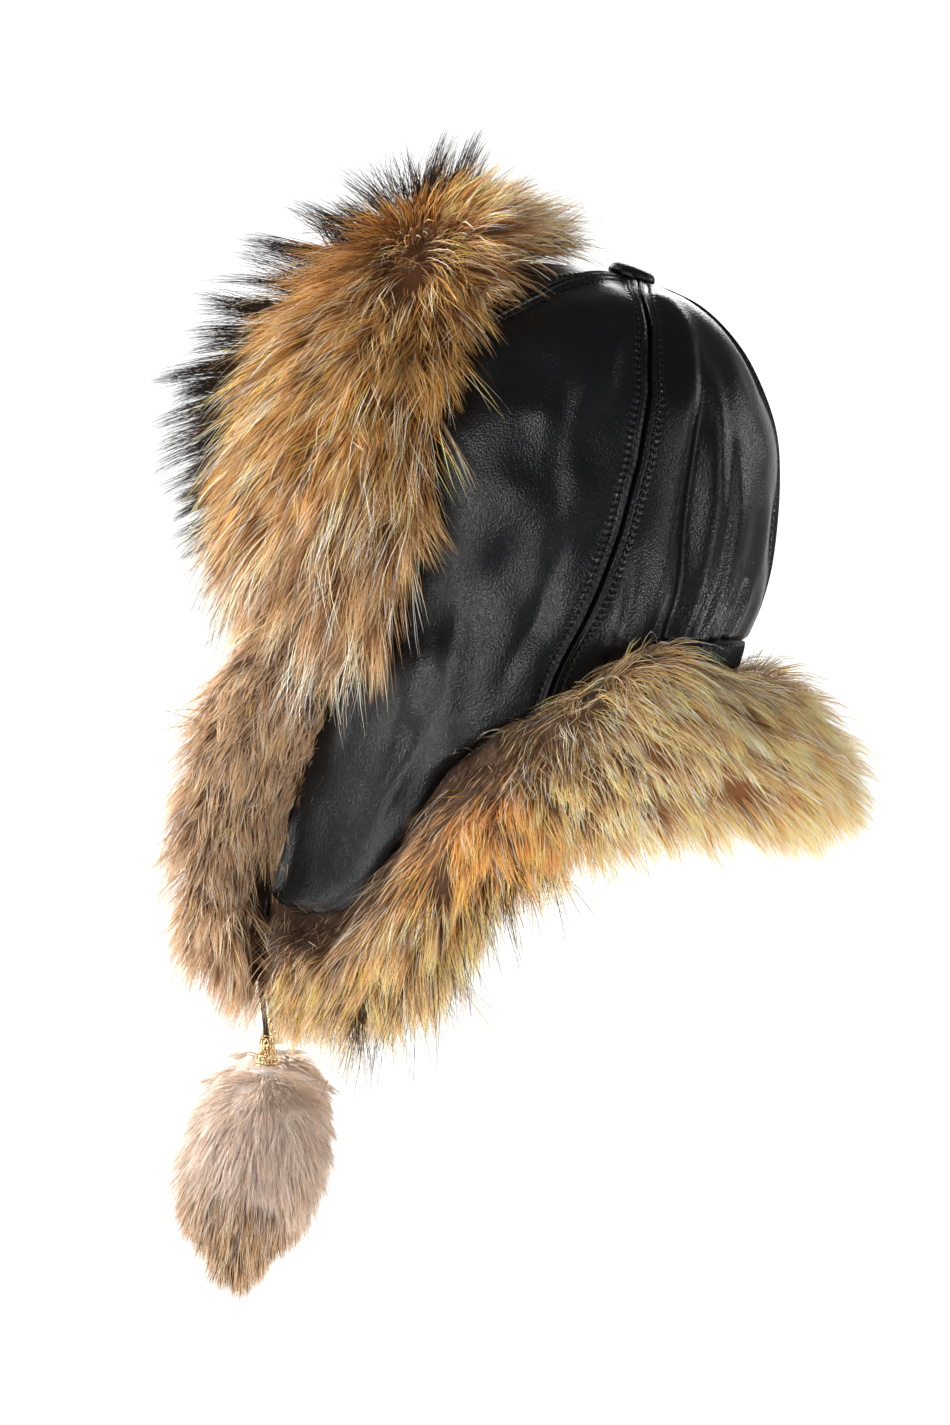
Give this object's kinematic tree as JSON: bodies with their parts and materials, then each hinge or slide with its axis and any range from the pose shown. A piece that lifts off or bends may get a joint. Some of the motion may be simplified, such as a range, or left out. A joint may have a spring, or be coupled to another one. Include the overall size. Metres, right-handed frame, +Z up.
{
  "type": "ushanka",
  "caption": "Leather ushanka with a turned-up fur visor, fur-edged ear flaps, gathered nape, covered button and two hanging fur pompoms.",
  "frame": {"origin": "middle of the head opening, level with the forehead edge", "axes": "+Z up, the wearer faces -Y, the wearer's left is +X"},
  "size_m": [0.2462, 0.3391, 0.5143],
  "materials": {
    "black_leather": "soft satin nappa with a fine grain",
    "cord_leather": "thin round lace, satin",
    "visor_fur": "long raccoon fur, honey brown with a black stripe",
    "flap_fur": "long raccoon fur, taupe with orange and cream hair",
    "pompom_fur": "dense fur, grey taupe to brown",
    "gold_metal": "polished gold-toned metal"
  },
  "bodies": {
    "root": {"front_panel": "black_leather", "side_panel_left": "black_leather", "side_panel_right": "black_leather", "back_panel_left": "black_leather", "back_panel_right": "black_leather", "nape_elastic": "black_leather", "crown_button": "black_leather", "visor_fur": "visor_fur", "flap_fur_left": "flap_fur", "flap_fur_right": "flap_fur", "nape_fur": "flap_fur", "tie_cord_left": "cord_leather", "tie_cord_right": "cord_leather", "bead_cap_left": "gold_metal", "bead_cap_right": "gold_metal", "pompom_left": "pompom_fur", "pompom_right": "pompom_fur"}
  },
  "joints": []
}
